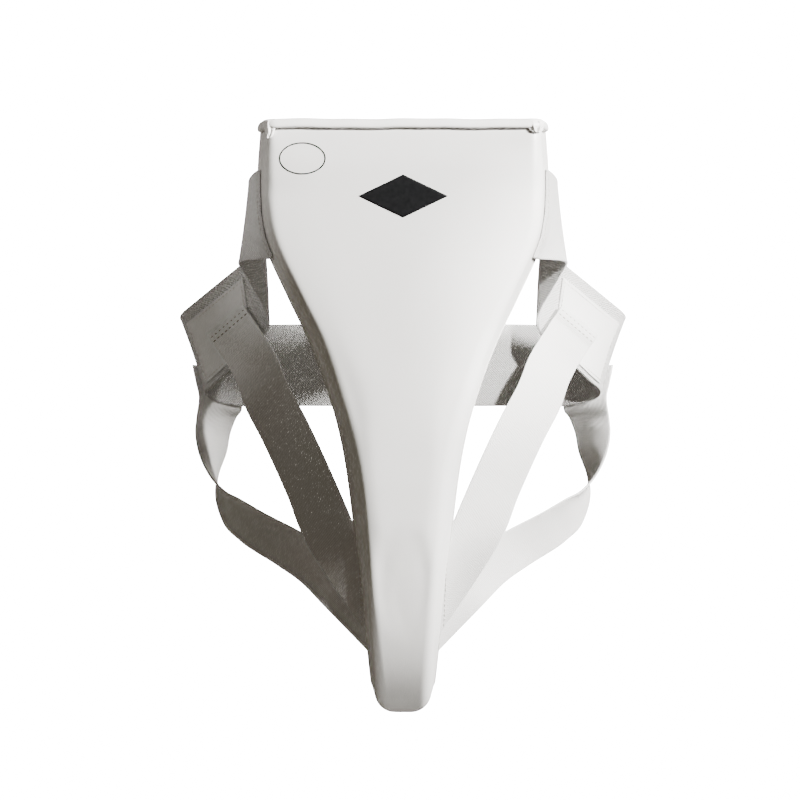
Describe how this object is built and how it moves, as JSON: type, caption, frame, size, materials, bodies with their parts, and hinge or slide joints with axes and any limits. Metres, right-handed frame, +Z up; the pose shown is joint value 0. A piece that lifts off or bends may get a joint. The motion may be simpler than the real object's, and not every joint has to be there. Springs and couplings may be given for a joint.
{
  "type": "groin protector",
  "caption": "White padded groin protector: a tapering front with a curved tongue, a wide elastic waistband folded at the hips, and twisted elastic leg straps.",
  "frame": {"origin": "on the flat back lining, on the centre line, at the middle of the height where the waistband is sewn to the pad", "axes": "+X to the wearer's left, which is the viewer's right from the front; +Y into the wearer's body; +Z up"},
  "size_m": [0.271, 0.1386, 0.3384],
  "materials": {
    "coated_leather": "smooth white coated leather, satin, with a fine faint grain",
    "firm_foam": "closed-cell foam, matte, hidden inside",
    "soft_foam": "open-cell foam, matte, hidden inside",
    "lining": "white brushed knit, matte",
    "binding_tape": "white coated tape folded over the top edge",
    "print_ink": "thin black print, satin",
    "wide_elastic": "white knitted elastic with a honeycomb texture, matte",
    "patch_cloth": "smooth white cloth patch, matte",
    "narrow_elastic": "white fine-ribbed elastic webbing, matte",
    "thread": "white sewing thread"
  },
  "bodies": {
    "root": {"back_lining": "lining", "binding_fold_left": "binding_tape", "binding_fold_right": "binding_tape", "comfort_foam": "soft_foam", "front_badge": "print_ink", "front_cover": "coated_leather", "front_mark": "print_ink", "hip_patch_left": "patch_cloth", "hip_patch_right": "patch_cloth", "hip_seam_lower_left": "thread", "hip_seam_lower_right": "thread", "hip_seam_upper_left": "thread", "hip_seam_upper_right": "thread", "impact_foam": "firm_foam", "leg_strap_front_left": "narrow_elastic", "leg_strap_front_right": "narrow_elastic", "leg_strap_rear_left": "narrow_elastic", "leg_strap_rear_right": "narrow_elastic", "rear_seam_left": "thread", "rear_seam_right": "thread", "tongue_seam_left": "thread", "tongue_seam_right": "thread", "top_binding": "binding_tape", "waistband": "wide_elastic", "waistband_seam_left": "thread", "waistband_seam_right": "thread"}
  },
  "joints": []
}
